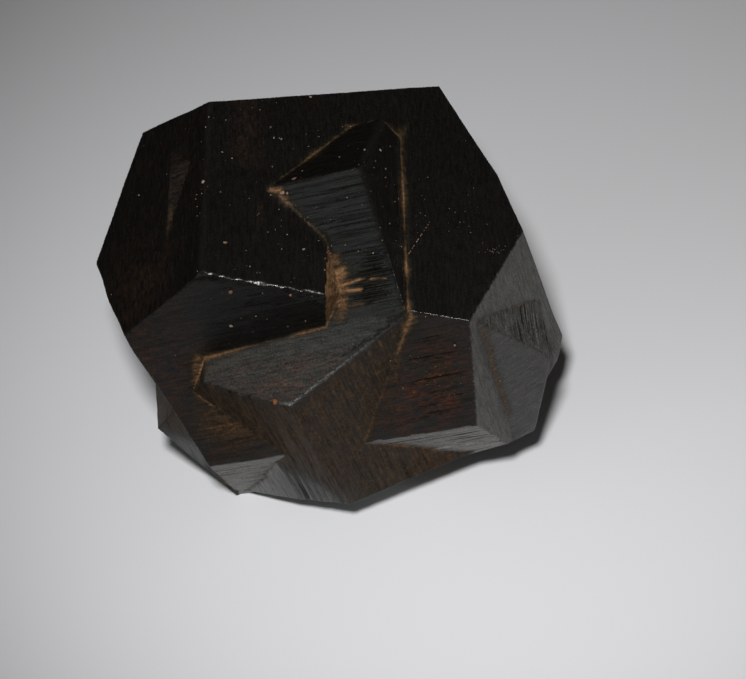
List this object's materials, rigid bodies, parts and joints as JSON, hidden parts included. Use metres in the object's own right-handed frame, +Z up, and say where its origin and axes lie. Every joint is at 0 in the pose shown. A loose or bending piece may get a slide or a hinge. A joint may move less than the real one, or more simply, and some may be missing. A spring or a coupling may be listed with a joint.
{
  "type": "iron-cross twinned pyrite crystal cluster",
  "caption": "Dark brown-black pyritohedral crystals grown through each other, with flat striated faces, ledges, growth grooves and worn bright edges.",
  "frame": {"origin": "middle of the cluster's base, on the surface that it rests on", "axes": "+Z up as it rests, +X to the right along its longest side, +Y away from the front, where the second crystal's prow points"},
  "size_m": [0.0478, 0.0444, 0.0411],
  "materials": {
    "limonite_coated_pyrite": "glossy dark growth faces with fine striations and ochre-brown grooves"
  },
  "bodies": {
    "root": {"pyrite_cluster": "limonite_coated_pyrite"}
  },
  "joints": []
}
